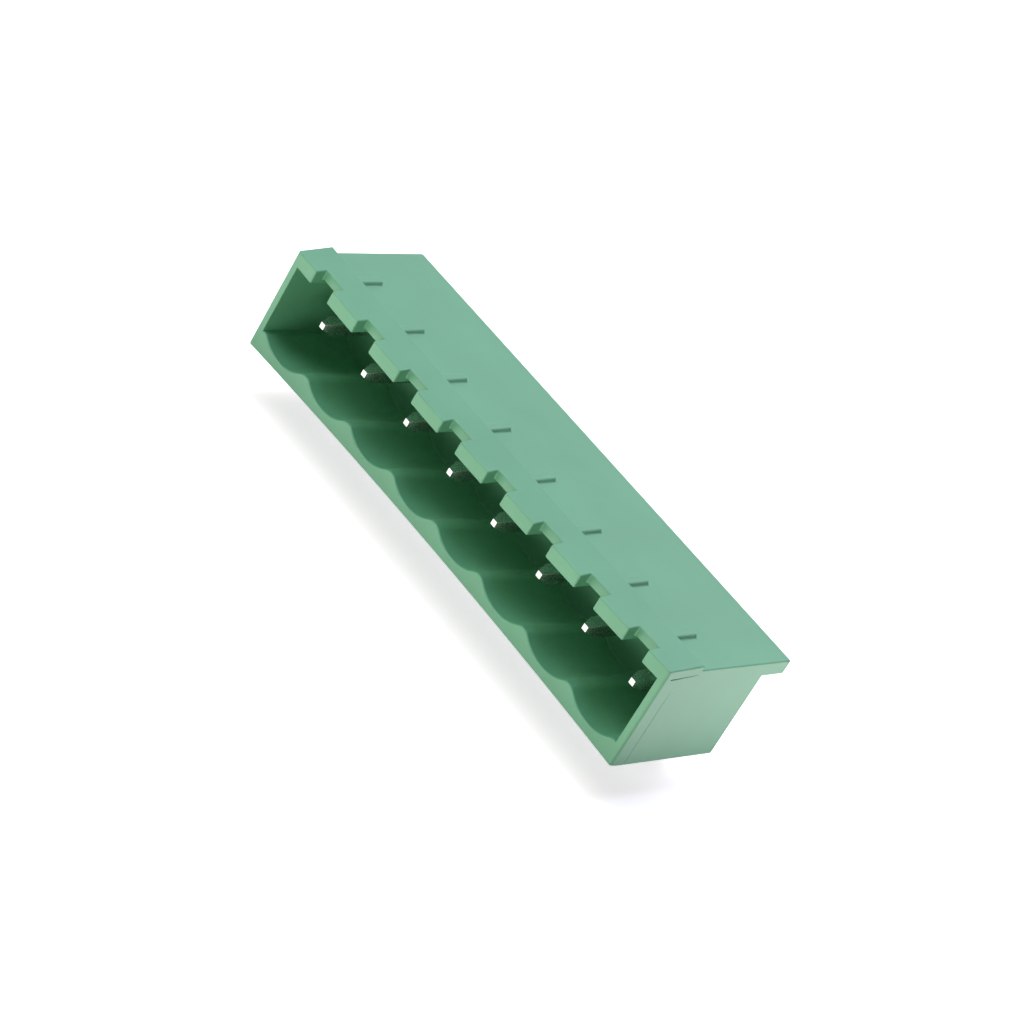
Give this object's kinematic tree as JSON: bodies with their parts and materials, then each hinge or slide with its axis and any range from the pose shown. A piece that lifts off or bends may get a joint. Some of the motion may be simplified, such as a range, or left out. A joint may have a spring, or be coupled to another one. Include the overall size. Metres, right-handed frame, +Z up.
{
  "type": "pluggable terminal block header",
  "caption": "Right-angle board header of a pluggable terminal block: closed-end moulded shroud with a notched latch lip, scalloped floor and square bent contacts.",
  "frame": {"origin": "centre of the housing's flat face that sits on the board", "axes": "+X along the row of contacts, -Y out of the mouth where the plug enters, +Z up from the board"},
  "size_m": [0.0422, 0.012, 0.0116],
  "materials": {
    "housing_plastic": "satin injection-moulded PBT",
    "contact_metal": "bright tin plate on drawn square wire"
  },
  "bodies": {
    "root": {"housing": "housing_plastic", "pin_1": "contact_metal", "pin_2": "contact_metal", "pin_3": "contact_metal", "pin_4": "contact_metal", "pin_5": "contact_metal", "pin_6": "contact_metal", "pin_7": "contact_metal", "pin_8": "contact_metal"}
  },
  "joints": []
}
